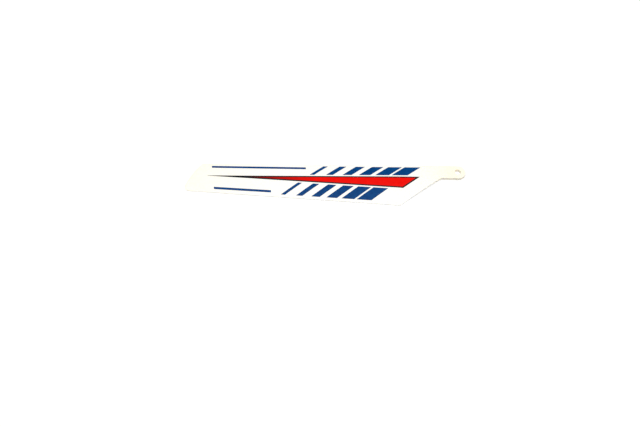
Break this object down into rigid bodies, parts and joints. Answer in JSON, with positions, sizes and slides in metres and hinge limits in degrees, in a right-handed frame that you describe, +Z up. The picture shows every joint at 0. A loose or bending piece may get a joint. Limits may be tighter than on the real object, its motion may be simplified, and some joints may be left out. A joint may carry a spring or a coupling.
{
  "type": "helicopter rotor blade",
  "caption": "Moulded rotor blade for a small model helicopter: bolted root tab, tapered cambered blade with a raked tip, printed upper face.",
  "frame": {"origin": "axis of the bolt hole at the underside of the root tab, which lies on the ground plane", "axes": "+Z up along the bolt hole to the printed face, -X along the span to the tip, +Y towards the leading edge"},
  "size_m": [0.1588, 0.0277, 0.0028],
  "materials": {
    "blade_plastic": "glossy ivory moulding",
    "red_print": "glossy red ink",
    "black_print": "glossy black ink",
    "blue_print": "glossy blue ink"
  },
  "bodies": {
    "root": {"blade": "blade_plastic", "red_band": "red_print", "band_edging": "black_print", "blue_bars": "blue_print", "blue_lines": "blue_print"}
  },
  "joints": []
}
